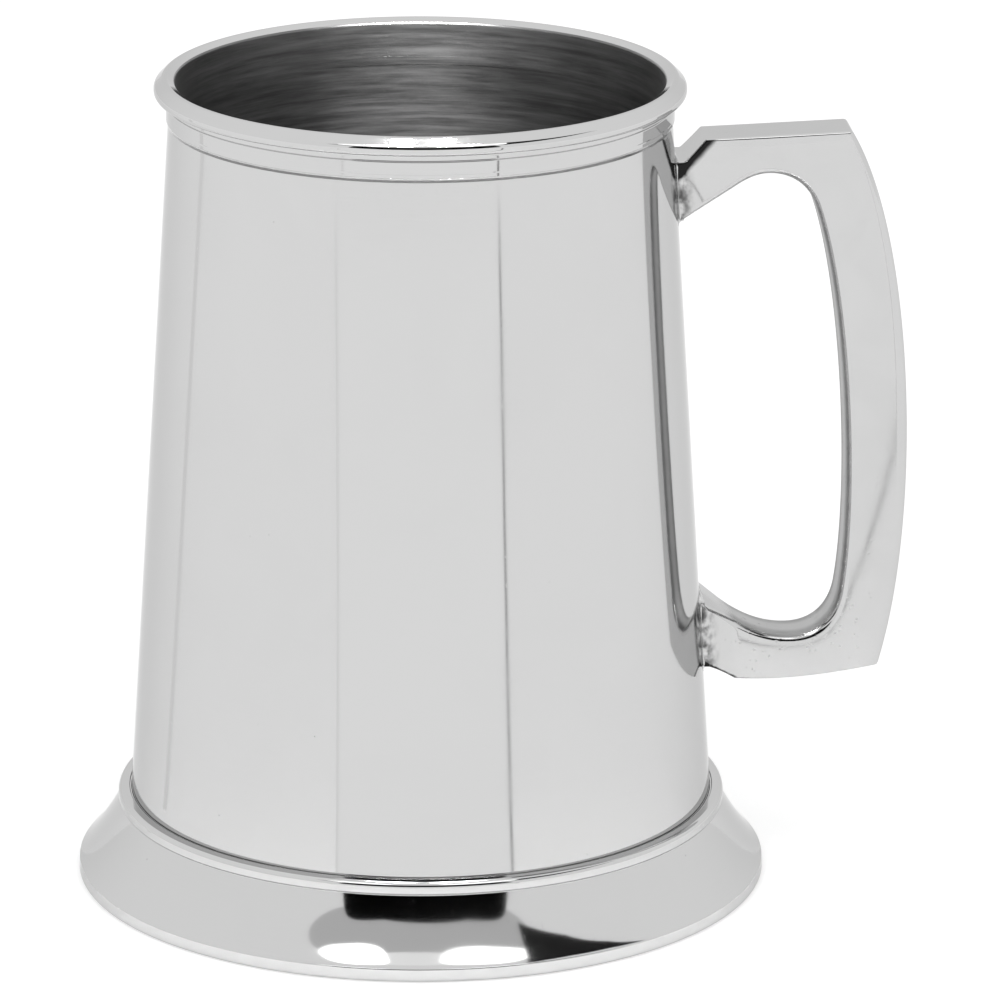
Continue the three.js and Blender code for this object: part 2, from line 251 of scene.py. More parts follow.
mouth_mount = spin("turned_mouth_mount", turned([
    (BORE, MOUNT_BOTTOM, SCRAPED),
    (BAND, MOUNT_BOTTOM, 0.04),
    (BAND, SCORE - SCORE_WIDTH / 2, 0.05),
    (BAND - SCORE_DEPTH, SCORE, 0.05),
    (BAND, SCORE + SCORE_WIDTH / 2, 0.05),
    (BAND, BAND_TOP, 0.2),
    (NECK, BAND_TOP + 0.14, 0.3),
    (NECK, CREST - 2.9, 0.7),
    (LIP, CREST - 2.6, 0.9),
    (LIP, CREST - 1.3, 1.1),
    (LIP - 1.6, CREST + 0.17, 0.8),  # its rounding brings the top back to the crest
    (BORE, CREST - 0.7, 0.4),
]))

# %% [markdown]
# ## The foot
# Spun from one disc: a collar that the barrel sits in, a small roll round its top, a steep neck, a hollow
# cove and a nearly upright edge, with the sheet turned in underneath so that it rests on a smooth ring.
# The cove is one Bezier curve, steep at the top and flatter towards the edge, because every shape of light
# on the foot is drawn by how evenly this curve turns. Straight facets would break the shapes into steps.

# %% Spin the foot
FOOT_SHEET = 1.4
COLLAR_DEPTH = 2.9
HEM = 3.3  # width of the turned-in ring
roll_radius = barrel_radius(FOOT_TOP) + FILM + 1.7
collar_low = FOOT_TOP - COLLAR_DEPTH

cove_foot, cove_top = (FOOT_RADIUS - 0.15, 1.95), (roll_radius - 0.28, FOOT_TOP - 2)

foot = spin("spun_foot", turned([
    (FOOT_RADIUS - HEM, 0, 0.35),
    (FOOT_RADIUS, 0, 0.45),  # the edge that meets the table
    (*cove_foot, 0.8),
    *bezier([cove_foot, (FOOT_RADIUS - 1.9, 3.4), (roll_radius + 1.42, 7.85), cove_top], 28)[:-1],
    (*cove_top, 0.12),
    (roll_radius, FOOT_TOP - 1.72, 0.5),
    (roll_radius, FOOT_TOP, 1.2),
    (barrel_radius(FOOT_TOP) + FILM, FOOT_TOP, 0.06),
    (barrel_radius(collar_low) + FILM, collar_low, 0.1),
    (roll_radius - 1.6, 9.6, 0.5),
    (roll_radius, 6.7, 7),
    (FOOT_RADIUS - 1.5, 1.75, 0.3),
    (FOOT_RADIUS - 1.5, FOOT_SHEET, 0.2),
    (FOOT_RADIUS - HEM, FOOT_SHEET, 0.35),
]))

# %% [markdown]
# ## The base disc
# A shallow dish pushed up in the middle, with its edge turned down to take the solder. It shows from
# underneath and at the bottom of the drink. The crown is one smooth parabola, sampled by a formula.

# %% Dish the base disc
BASE_SHEET = 1.4
FLANGE = 2.1
base_rim = BARREL_BOTTOM + FLANGE
crown = base_high[2] - base_rim
flat_edge = base_high[1] - BASE_SHEET - 3


def dome(low, radius, rise, steps=14):
    """Corners of a shallow dome from its edge to the axis."""
    shares = [1 - k / steps for k in range(steps + 1)]
    return [(radius * s, low + rise * (1 - s * s), 0) for s in shares]


base_disc = spin("dished_base", turned(
    list(reversed(dome(base_rim - BASE_SHEET, flat_edge, crown)))
    + [
        (base_high[1] - BASE_SHEET, base_rim - BASE_SHEET, 0.5),
        (base_high[1] - BASE_SHEET, BARREL_BOTTOM, 0.15),
        (base_high[1], BARREL_BOTTOM, 0.15),
        (barrel_radius(base_rim) - SHEET - FILM, base_rim, 0.5),
    ]
    + dome(base_rim, flat_edge, crown),
    closed=False,
), closed=False)

# %% [markdown]
# ## Solder between the round pieces
# The solder fills each thin gap and shrinks back a little as it sets, which draws the fine line where two
# pieces meet. Round the mouth it is wiped over the edges instead: inside, it covers the joint with a film
# thinner than a hair, and outside it fills the step under the band with a small slope.

# %% Solder rings
SHRINK = 0.12  # how far the solder stops short of an open edge
GAP = 0.05  # its clearance from the metal on each side


def cone_ring(name, low, high, inner, outer):
    """A ring that follows the barrel's cone, between two offsets from its outer radius."""
    return spin(name, turned([
        (barrel_radius(low) + inner, low, 0.04),
        (barrel_radius(low) + outer, low, 0.04),
        (barrel_radius(high) + outer, high, 0.04),
        (barrel_radius(high) + inner, high, 0.04),
    ]))


WIPED = 0.012  # how proud the solder stands where it was wiped over both edges
WIPE_REACH = 0.4  # how far it was wiped past them
FEATHER = 0.003  # rounding of its thinned-out edges
TUCK, SHY = 0.2, 0.015  # how far it starts inside the joint, and stops short of the band's face
LIFT = 0.01  # its clearance from the cut ends, and how far its outer tip sinks into the barrel

mouth_seam = spin("mouth_seam", turned([
    (BORE + WIPED, BARREL_TOP - 1.5 * WIPE_REACH, FEATHER),  # the barrel is already wider here
    (BORE + TUCK, BARREL_TOP + LIFT, 0),
    (MOUTH_RADIUS - TUCK, BARREL_TOP + LIFT, 0),
    (barrel_radius(BARREL_TOP - WIPE_REACH) - LIFT, BARREL_TOP - WIPE_REACH, 0),
    (BAND - SHY, MOUNT_BOTTOM - LIFT, LIFT),
    (BORE + TUCK, MOUNT_BOTTOM - LIFT, 0),
    (BORE - FEATHER, MOUNT_BOTTOM + WIPE_REACH, FEATHER),
    (BORE - WIPED, BARREL_TOP + FILM / 2, 0.3),
]))
foot_seam = cone_ring("foot_seam", BARREL_BOTTOM, FOOT_TOP - SHRINK, GAP, FILM - GAP)
base_seam = cone_ring("base_seam", BARREL_BOTTOM + SHRINK, base_rim - SHRINK,
                      GAP - SHEET - FILM, -SHEET - GAP)

# %% [markdown]
# ## The handle seen from the side
# A cast handle starts as two lines on a drawing, the outside of the loop and the inside. Here each line
# runs from the upper joint round to the lower one. Points are given as a stand-off from the barrel and a
# height, so the loop leans with the barrel as the real one does. Long sweeps are Bezier curves, and the
# crisp corners get a small rounding from the same helper that the turned pieces use.

# %% Draw the two sides of the loop
SAG = 1.87  # how far the lower arm hangs below its outer corner
TOP, BOTTOM = handle_high[2], handle_low[2] + SAG
HALF_WIDTH = 4.25
REACH = 33.17  # barrel to the outside of the grip
CORNER = REACH - 6.45  # where the two outer corners stand
BUTT_GAP = 0.1  # the casting stops this far from the barrel, inside the solder
UPPER_BUTT, LOWER_BUTT = (TOP - 13.43, TOP - 4.1), (BOTTOM + 1, BOTTOM + 11.5)

upper_corner, lower_corner = (CORNER, TOP, 0.7), (CORNER, BOTTOM, 0.7)
upper_chamfer, upper_notch = (4.6, TOP - 0.85, 0.5), (1.47, UPPER_BUTT[1], 0.6)
lower_chamfer, lower_notch = (4.55, BOTTOM - 1.65, 0.5), (0.82, LOWER_BUTT[0], 0.5)
bow = bezier([upper_corner, (REACH + 2.55, TOP - 16.2), (REACH + 1.85, BOTTOM + 22.9), lower_corner], 60)
keel = bezier([lower_corner, (CORNER / 2, BOTTOM - 2.5), lower_chamfer], 30)
outer_side = (
    [(BUTT_GAP, UPPER_BUTT[1], 0), upper_notch, upper_chamfer, upper_corner]
    + bow[:-1] + [lower_corner]
    + keel[:-1] + [lower_chamfer, lower_notch, (BUTT_GAP, LOWER_BUTT[0], 0)]
)

GRIP = REACH - 9  # barrel to the inside of the grip
FLOOR, ROOF = BOTTOM + 5.1, TOP - 6.42
slope_top, grip_top, grip_low = (GRIP - 16, ROOF - 2.2), (GRIP - 3.3, TOP - 11.9), (GRIP - 3, BOTTOM + 11.6)
roof_point, floor_point = (GRIP - 10.3, ROOF), (GRIP - 10.8, FLOOR)
inner_side = (
    [(BUTT_GAP, UPPER_BUTT[0], 0), (*slope_top, 0)]
    + bezier([slope_top, (GRIP - 14.6, ROOF - 1.3), (GRIP - 12.6, ROOF), roof_point])
    + bezier([roof_point, (GRIP - 6.8, ROOF), (GRIP - 4.2, ROOF - 2), grip_top])
    + bezier([grip_top, (GRIP + 0.6, TOP - 26.1), (GRIP + 0.3, BOTTOM + 26.5), grip_low], 50)
    + bezier([grip_low, (GRIP - 4, FLOOR + 2.4), (GRIP - 6.8, FLOOR), floor_point])
    + bezier([floor_point, (GRIP - 16.2, FLOOR), (4.6, BOTTOM + 8), (BUTT_GAP, LOWER_BUTT[1])])
)
print(f"handle from {BOTTOM:.2f} to {TOP:.2f}, {len(outer_side)} and {len(inner_side)} points on its sides")

# %% [markdown]
# ## Matching the two sides
# The loop is lofted through cross-sections, and each one needs a point on the outside and its partner on
# the inside. Cutting both sides at the same landmarks keeps every cross-section nearly square to the
# metal. Stations crowd together at each landmark, so the crisp corners have points to turn on.

# %% Stations along the loop
def side_line(corners):
    """A densely sampled side as points in radius and height, square to the barrel's axis."""
    flat = [(barrel_radius(z) + s, z, rounding) for s, z, rounding in corners]
    return turned(flat, closed=False)[0]


def cut_at(line, landmarks, counts):
    """Points along a line, the given number between each pair of landmarks, crowded at the landmarks."""
    along = np.concatenate([[0], np.cumsum(np.hypot(*np.diff(line, axis=0).T))])
    stops = []
    for s, z in landmarks:
        spot = np.array([barrel_radius(z) + s, z])
        stops.append(along[np.argmin(np.hypot(*(line - spot).T))])
    stops[0], stops[-1] = 0, along[-1]
    wanted = []
    for start, stop, count in zip(stops, stops[1:], counts):
        shares = (1 - np.cos(np.pi * np.arange(count) / count)) / 2
        wanted.extend(start + (stop - start) * shares)
    wanted.append(stops[-1])
    return np.stack([np.interp(wanted, along, line[:, i]) for i in (0, 1)], axis=1)


COUNTS = [5, 16, 44, 120, 44, 16, 5]
outer_marks = [(BUTT_GAP, UPPER_BUTT[1]), upper_notch[:2], upper_chamfer[:2], upper_corner[:2],
               lower_corner[:2], lower_chamfer[:2], lower_notch[:2], (BUTT_GAP, LOWER_BUTT[0])]
inner_marks = [(BUTT_GAP, UPPER_BUTT[0]), (1.4, TOP - 12.5), (4.4, TOP - 10.8), (GRIP - 4.9, ROOF - 1.9),
               (GRIP - 4.9, FLOOR + 1.9), (4.9, BOTTOM + 7.9), (1.3, BOTTOM + 10.7),
               (BUTT_GAP, LOWER_BUTT[1])]
outer_line = cut_at(side_line(outer_side), outer_marks, COUNTS)
inner_line = cut_at(side_line(inner_side), inner_marks, COUNTS)
STATIONS = len(outer_line)
landmark_at = np.concatenate([[0], np.cumsum(COUNTS)])
print(f"{STATIONS} stations round the loop, landmarks at {landmark_at.tolist()}")

# %% [markdown]
# ## The handle's cross-section
# The section is a rectangle with rounded edges, but the rounding isn't the same everywhere: the flat on top
# is filed crisp, while the edges of the bow are rubbed down broad where the palm goes. So each station has
# its own outer and inner edge radius, eased from one landmark to the next. The side faces are crowned by a
# fraction of a millimetre, since a perfectly flat face looks machined.

# %% Cross-sections
CROWN = 0.16  # how far each side face swells in the middle


def eased(values):
    """One value for each station, eased between the values given at the landmarks."""
    result = np.empty(STATIONS)
    for i, (start, stop) in enumerate(zip(landmark_at, landmark_at[1:])):
        t = (np.arange(start, stop + 1) - start) / (stop - start)
        result[start:stop + 1] = values[i] + (values[i + 1] - values[i]) * t * t * (3 - 2 * t)
    return result


def half_section(depth, outer_edge, inner_edge):
    """(distance from the inside, half width) from the middle of the outer face to that of the inner one."""
    quarter = np.linspace(0, np.pi / 2, 9)
    flat = (1 - np.cos(np.linspace(0, np.pi, 12))) / 2
    points = [(depth, (HALF_WIDTH - outer_edge) * t) for t in flat[:-1]]
    points += [(depth - outer_edge * (1 - math.cos(a)), HALF_WIDTH - outer_edge * (1 - math.sin(a)))
               for a in quarter]
    span = depth - outer_edge - inner_edge
    points += [(inner_edge + span * (1 - t), HALF_WIDTH) for t in flat[1:-1]]
    points += [(inner_edge * (1 - math.sin(a)), HALF_WIDTH - inner_edge * (1 - math.cos(a)))
               for a in quarter]
    points += [(0, (HALF_WIDTH - inner_edge) * (1 - t)) for t in flat[1:]]
    return points


outer_edges = eased([0.4, 0.35, 0.35, 0.45, 0.7, 0.45, 0.4, 0.4])
inner_edges = eased([0.5, 0.6, 0.9, 1.2, 1.3, 1.4, 0.8, 0.5])
middle = (landmark_at[3] + landmark_at[4]) / 2
bow_share = np.clip(1 - np.abs(np.arange(STATIONS) - middle) / (middle - landmark_at[3]), 0, 1)
outer_edges += 1.1 * np.sqrt(bow_share)
print(f"outer edge radius {outer_edges.min():.2f} to {outer_edges.max():.2f}")

# %% [markdown]
# ## Lofting the handle
# Every section is placed between its two side points, then two small corrections are made near the barrel:
# the side faces flare out to give the solder a wider land, and the end follows the barrel's round instead
# of a flat cut.

# %% Loft the handle
FLARE_REACH = 4.6
FILLET = 0.8  # how far the solder reaches up the butts
UPPER_FLARE, LOWER_FLARE = 0.6, 2.4


def flare(standoff, z):
    near = np.clip(1 - np.maximum(standoff - FILLET, 0) / FLARE_REACH, 0, 1)
    return np.where(z > (TOP + BOTTOM) / 2, UPPER_FLARE, LOWER_FLARE) * near**2


def on_barrel(radius, y, z):
    """Bends points near the barrel so that they follow its round. Returns the new x."""
    standoff = radius - barrel_radius(z)
    near = np.clip(1 - standoff / 5, 0, 1) ** 2
    return radius - (radius - np.sqrt(np.maximum(radius**2 - y**2, 0))) * near


def handle_rings():
    rings = []
    for i in range(STATIONS):
        inner, outer = inner_line[i], outer_line[i]
        depth = np.hypot(*(outer - inner))
        half = np.array(half_section(depth, outer_edges[i], inner_edges[i]))
        across = half[:, 0] / depth
        half[:, 1] += CROWN * np.clip(1 - (2 * across - 1) ** 2, 0, 1) * (half[:, 1] / HALF_WIDTH) ** 2
        section = np.concatenate([half, (half * (1, -1))[-2:0:-1]])
        spots = inner + (outer - inner) * (section[:, :1] / depth)
        radius, z, y = spots[:, 0], spots[:, 1], section[:, 1]
        y = y * (1 + flare(radius - barrel_radius(z), z) / HALF_WIDTH)
        rings.append(np.stack([AXIS_X + on_barrel(radius, y, z), y, z], axis=1))
    return np.array(rings)


rings = handle_rings()
around = rings.shape[1]
faces = [(i * around + k, i * around + (k + 1) % around,
          (i + 1) * around + (k + 1) % around, (i + 1) * around + k)
         for i in range(STATIONS - 1) for k in range(around)]
ends = [tuple(range(around))[::-1], tuple(range((STATIONS - 1) * around, STATIONS * around))]
handle = new_object("cast_handle", rings.reshape(-1, 3), faces + ends)
print(f"cast_handle: {len(faces)} faces, {rings[..., 0].max():.2f} mm at its widest")

# %% [markdown]
# ## Solder round the butts
# Where the handle meets the barrel, the solder climbs both surfaces and sets in a smooth hollow. A plain
# torus would look like a gasket. This one is a quarter-round hollow swept along the real outline of the
# butt, drawn in height and width, so it follows the flared corners and the barrel's curve.

# %% Butt seams
SEAM_AROUND, SEAM_STEPS = 96, 8
BUTT_CORNER = 0.9
TIGHT = 0.06  # how far the collar bites into the butt's faces, so that no gap shows
THINNEST = 0.02


def butt_outline(low, high, half_width, corner, grow):
    """A rounded rectangle of (height, width) points round a butt."""
    middle, half_height = (low + high) / 2, (high - low) / 2
    points = []
    for k in range(SEAM_AROUND):
        angle = math.tau * (k + 0.5) / SEAM_AROUND
        c, s = math.cos(angle), math.sin(angle)
        straight_z, straight_y = half_height - corner, half_width - corner
        z = math.copysign(straight_z, s) + corner * s
        y = math.copysign(straight_y, c) + corner * c
        points.append((middle + z + grow * s, y + grow * c))
    return np.array(points)


def butt_seam(name, low, high, half_width, reach):
    """A hollow collar of solder between a handle butt and the barrel."""
    rows = []
    for k in range(SEAM_STEPS + 1):
        angle = math.pi / 2 * k / SEAM_STEPS
        out, up = reach * (1 - math.cos(angle)), reach * (1 - math.sin(angle))
        points = butt_outline(low, high, half_width, BUTT_CORNER, out - TIGHT)
        rows.append(np.column_stack([points, np.full(len(points), max(up, THINNEST))]))
    under = butt_outline(low, high, half_width, BUTT_CORNER, -0.5)
    rows.append(np.column_stack([under, np.full(len(under), THINNEST)]))
    rows.append(np.column_stack([under, np.full(len(under), reach * 0.5)]))
    verts = []
    for row in rows:
        for z, y, standoff in row:
            radius = barrel_radius(z) + standoff
            verts.append((AXIS_X + math.sqrt(radius**2 - y**2), y, z))
    count = len(rows)
    faces = [(i * SEAM_AROUND + k, i * SEAM_AROUND + (k + 1) % SEAM_AROUND,
              (i + 1) % count * SEAM_AROUND + (k + 1) % SEAM_AROUND, (i + 1) % count * SEAM_AROUND + k)
             for i in range(count) for k in range(SEAM_AROUND)]
    print(f"{name}: {len(faces)} faces")
    return new_object(name, verts, faces)


upper_seam = butt_seam("upper_butt_seam", *UPPER_BUTT, HALF_WIDTH + UPPER_FLARE, FILLET)
lower_seam = butt_seam("lower_butt_seam", LOWER_BUTT[0], LOWER_BUTT[1] - 0.1,
                       HALF_WIDTH + LOWER_FLARE, FILLET)

# %% [markdown]
# ## Writing shader maths as arithmetic
# A finish is a graph of nodes, and built node by node it is hard to read. Two small classes help. A Wire is
# one output socket, and adding or multiplying Wires adds the Math nodes, so `1 - mask` means what it says.
# A Finish holds the material and has one method for every other kind of node.

# %% Shader helpers
class Wire:
    """One output socket of a finish. Arithmetic on it adds Math nodes."""

    def __init__(self, finish, socket):
        self.finish, self.socket = finish, socket

    def math(self, operation, *values):
        return self.finish.node("Math", {"operation": operation}, dict(enumerate(values)))

    def __add__(self, other):
        return self.math("ADD", self, other)

    def __radd__(self, other):
        return self.math("ADD", other, self)

    def __sub__(self, other):
        return self.math("SUBTRACT", self, other)

    def __rsub__(self, other):
        return self.math("SUBTRACT", other, self)

    def __mul__(self, other):
        return self.math("MULTIPLY", self, other)

    def __rmul__(self, other):
        return self.math("MULTIPLY", other, self)

    def __pow__(self, other):
        return self.math("POWER", self, other)

    def capped(self):
        return self.math("MINIMUM", self, 1.0)

    def size(self):
        return self.math("ABSOLUTE", self)

    def ramp(self, low, high):
        """0 below low, 1 above high and smooth between them. With high under low it falls."""
        settings = {"interpolation_type": "SMOOTHSTEP", "clamp": True}
        if high > low:
            return self.finish.node("MapRange", settings, {0: self, 1: low, 2: high, 3: 0.0, 4: 1.0})
        return self.finish.node("MapRange", settings, {0: self, 1: high, 2: low, 3: 1.0, 4: 0.0})


class Finish:
    """A metal finish: a material whose nodes are added by node(), around one Principled shader."""

    def __init__(self, name):
        self.material = bpy.data.materials.new(name)
        self.material.use_nodes = True
        self.tree = self.material.node_tree
        self.shader = self.tree.nodes["Principled BSDF"]

    def node(self, kind, settings=None, values=None, output=0):
        made = self.tree.nodes.new("ShaderNode" + kind)
        for key, value in (settings or {}).items():
            setattr(made, key, value)
        for key, value in (values or {}).items():
            self.feed(made.inputs[key], value)
        return Wire(self, made.outputs[output])

    def feed(self, socket, value):
        if isinstance(value, Wire):
            self.tree.links.new(value.socket, socket)
        else:
            socket.default_value = value

    def surface(self, values):
        """Feeds the shader and returns the finished material."""
        for key, value in values.items():
            self.feed(self.shader.inputs[key], value)
        print(f"{self.material.name}: {len(self.tree.nodes)} nodes")
        return self.material

    def metal(self, shade, rough, normal, more):
        shared = {"Base Color": shade, "Metallic": 1.0, "Roughness": rough, "Normal": normal}
        return self.surface({**shared, **more})

    def vector(self, operation, first, second):
        return self.node("VectorMath", {"operation": operation}, {0: first, 1: second})

    def noise(self, vector, scale, detail=2.0, rough=0.5, twist=0.0):
        values = {"Vector": vector, "Scale": scale, "Detail": detail, "Roughness": rough, "Distortion": twist}
        return self.node("TexNoise", {}, values)

    def blend(self, share, low, high):
        """A colour between two grey levels."""
        return self.tint(share, (low, low, low, 1), (high, high, high, 1))

    def tint(self, share, low, high):
        """A colour between two colours, each a wire or a constant."""
        return self.node("Mix", {"data_type": "RGBA"}, {0: share, 6: low, 7: high}, output=2)

    def bump(self, height, depth_mm, normal=None):
        values = {"Height": height, "Distance": depth_mm * MM, "Strength": 1.0}
        if normal is not None:
            values["Normal"] = normal
        return self.node("Bump", {}, values)


# %% [markdown]
# ## Coordinates for a turned piece
# Marks left by a lathe run round the axis, so a finish for turned work needs to know the angle, the radius
# and the height of each point. Object coordinates are used, because every piece is modelled in the frame's
# own metres. Multiplied up to millimetres, a noise scale then reads directly as marks per millimetre.

# %% Coordinates
def millimetres(finish):
    """Position in millimetres from the foot of the barrel's axis."""
    place = finish.node("TexCoord", {}, {}, output="Object")
    centred = finish.vector("SUBTRACT", place, (AXIS_X * MM, 0, 0))
    return finish.node("VectorMath", {"operation": "SCALE"}, {0: centred, "Scale": 1 / MM})


def turned_coordinates(finish):
    """Position, arc length at the mouth, radius and height, all in millimetres."""
    place = millimetres(finish)
    parts = finish.node("SeparateXYZ", {}, {0: place})
    x, y, z = (Wire(finish, parts.socket.node.outputs[i]) for i in range(3))
    angle = x.math("ARCTAN2", y, x)
    radius = (x * x + y * y) ** 0.5
    return place, angle * MOUTH_RADIUS, radius, z


def join(finish, x, y, z):
    return finish.node("CombineXYZ", {}, {0: x, 1: y, 2: z})


# %% [markdown]
# ## Wear that every polished piece shares
# Pewter is soft. However well it is buffed, it keeps hairline scratches from the cloth and the cupboard,
# faint smears, and a slow unevenness from spinning and filing. Each of these is one mask here. They could be
# painted, but masks made from noise stretched far along one direction hold up at any distance.

# %% Scratches, smears and waviness
def scratches(finish, place, turn, fineness, share):
    """Hairlines that run one way: noise stretched along them and cut off just below its peaks."""
    laid = finish.node("VectorRotate", {"rotation_type": "EULER_XYZ"}, {"Vector": place, "Rotation": turn})
    stretched = finish.vector("MULTIPLY", laid, (fineness, fineness, 0.035))
    return finish.noise(stretched, 1.0, 1.0).ramp(1 - share, 1 - share + 0.04)


def waviness(finish, place, per_mm, depth_mm):
    return finish.bump(finish.noise(place, per_mm, 1.0), depth_mm)


# %% [markdown]
# ## Polished pewter
# The bright finish of the barrel, the mount, the foot and the handle is one recipe with a few settings: how
# wavy the metal is under the polish, how strong the lathe's own lines are, and how worn it is. Roughness
# stays low but never constant, because an even mirror looks like chrome plate and not like pewter.

# %% The polished finish
PEWTER = 0.61  # how much light the clean metal gives back
GRAZING = (0.74, 0.74, 0.74, 1)  # keeps the metal grey where it is seen edge on


def polished(name, wave_depth, lathe_depth, wear, haze=0.05):
    finish = Finish(name)
    place, arc, radius, z = turned_coordinates(finish)
    smear = finish.noise(place, 0.05, 3.0, 0.55, 0.6).ramp(0.35, 0.75)
    buffing = finish.noise(join(finish, arc * 0.22, radius * 5, z * 5), 1.0, 2.0)
    hairs = scratches(finish, place, (0.35, 0.2, 0), 2.2, 0.27)
    hairs = hairs + scratches(finish, place, (1.2, 0.5, 0.3), 1.7, 0.27)
    fleck = finish.node("TexVoronoi", {}, {"Vector": place, "Scale": 0.16}).ramp(0.03, 0.018)
    lathe = finish.noise(join(finish, arc * 0.01, radius * 3, z * 3), 1.0, 3.0, 0.7)
    shade = finish.blend(smear * buffing, PEWTER, PEWTER * 0.975)
    shade = finish.tint(fleck * 0.35, shade, (0.3, 0.3, 0.3, 1))
    rough = haze + 0.035 * smear + 0.03 * buffing + wear * hairs + 0.2 * fleck
    wavy = waviness(finish, place, 0.07, wave_depth)
    lines = finish.bump(lathe + 0.3 * buffing, lathe_depth, wavy)
    return finish.metal(shade, rough, lines, {"Specular Tint": GRAZING})


barrel_polish = polished("polished_barrel", 0.012, 0.00025, 0.05)
mount_polish = polished("polished_mount", 0.012, 0.0005, 0.04, 0.02)
foot_polish = polished("polished_foot", 0.02, 0.0004, 0.05, 0.04)

# %% [markdown]
# ## Satin pewter
# The inside of the barrel is left as the lathe and an abrasive pad leave it: fine lines round and round,
# which smear each highlight into an upright streak. That smearing is what the shader's own anisotropy does,
# and a rotation of a quarter turn sets it across the lines. The lines themselves are a bump, with a slow
# change of tone from band to band where the pad bit more or less.

# %% The satin finish
def satin(name, grey, base_rough, line_depth):
    finish = Finish(name)
    place, arc, radius, z = turned_coordinates(finish)
    lines = finish.noise(join(finish, arc * 0.07, radius * 1.3, z * 1.3), 1.0, 5.0, 0.7)
    bands = finish.noise(join(finish, arc * 0.03, radius * 0.35, z * 0.35), 1.0, 2.0)
    cloud = finish.noise(place, 0.08, 3.0)
    mottle = (lines * 0.6 + bands * 0.3 + cloud * 0.1).ramp(0.3, 0.7)
    shade = finish.blend(mottle, grey * 0.6, grey * 1.3)
    rough = base_rough - 0.06 + 0.12 * lines + 0.06 * cloud
    normal = finish.bump(lines + 0.5 * bands, line_depth)
    return finish.metal(shade, rough, normal, {"Anisotropic": 0.7, "Anisotropic Rotation": 0.25})


# Both greys sit far below PEWTER outside: partly the satin's own tone, partly painted shade for the inside of
# the barrel and for the base.
shaded_satin_inside = satin("shaded_satin_inside", 0.18, 0.3, 0.004)
shaded_satin_base = satin("shaded_satin_base", 0.17, 0.36, 0.006)

# %% [markdown]
# ## Cast and soldered metal
# The handle is cast, filed and buffed by hand, so its polish is the same recipe with deeper waves. The buff
# doesn't reach everywhere: the faces inside the loop stay dull and pitted as they left the mould, and their
# colour is also painted darker as shade inside the loop, most of all towards their edges and in the lower
# bend. The side faces are darkened to near black under the notches and in the creases by the barrel. These
# could be painted, but each is found from the surface's direction and its place on the loop, so no picture
# has to be wrapped round the handle. Solder is duller: it is scraped level and only wiped.

# %% Handle and solder finishes
LEAN = (BOTTOM_RADIUS - MOUTH_RADIUS) / (BARREL_TOP - BARREL_BOTTOM)  # how fast the barrel widens
# The raw faces inside the loop fade in over these ranges, and their colour is painted darker there, as shade.
GRIP_FADE = 50, 56  # radii over which the grip's raw face fades in
CEILING_FADE = 85, 95  # heights over which the upper arm's does
HOLLOW_FADE, HOLLOW_START = (52, 46), (46, 48)  # heights and radii over which the lower bend's does
UPPER_SLOPE, LOWER_SLOPE = (0.72, 0.69), (0.58, 0.81)  # directions square to the two chamfers


def direction(finish, facing, way):
    """How far the surface faces one way, from -1 to 1."""
    return finish.node("VectorMath", {"operation": "DOT_PRODUCT"}, {0: facing, 1: way}, output="Value")


def unbuffed_and_shaded(finish, place, radius, z, facing, ragged):
    """Mask of the faces inside the loop, left raw and painted darker as shade: the grip's, the upper arm's
    ceiling and the lower bend's floor.
    """
    flat_place = finish.vector("MULTIPLY", place, (1, 1, 0))
    outward = finish.node("VectorMath", {"operation": "NORMALIZE"}, {0: flat_place})
    rise = direction(finish, facing, (0, 0, 1))
    grip = (ragged - direction(finish, facing, outward)).ramp(0.65, 1.0) * radius.ramp(*GRIP_FADE)
    ceiling = (ragged - rise).ramp(0.65, 1.0) * z.ramp(*CEILING_FADE)
    hollow = (ragged + rise).ramp(0.6, 1.0) * z.ramp(*HOLLOW_FADE) * radius.ramp(*HOLLOW_START)
    return (grip + ceiling + hollow * 0.8).capped()


def chamfer_and_crease_darkening(finish, radius, z, facing, ragged):
    """Mask of the side faces darkened under the two chamfers and in the creases by the barrel."""
    standoff = radius + z * LEAN - (MOUTH_RADIUS + LEAN * BARREL_TOP)
    upper = (standoff - upper_notch[0]) * UPPER_SLOPE[0] - (z - upper_notch[1]) * UPPER_SLOPE[1] - ragged
    lower = (standoff - lower_notch[0]) * LOWER_SLOPE[0] + (z - lower_notch[1]) * LOWER_SLOPE[1] - ragged
    flank = direction(finish, facing, (0, 1, 0)).size().ramp(0.5, 0.85)
    under_chamfers = upper.ramp(1.6, 0.7) * standoff.ramp(11, 5) + lower.ramp(0.5, 0.2) * standoff.ramp(7, 4)
    crease = standoff.ramp(3.0, 0.6) * (ragged * 3.3).ramp(0.3, 0.75)
    return flank * (under_chamfers + 0.9 * crease).capped()


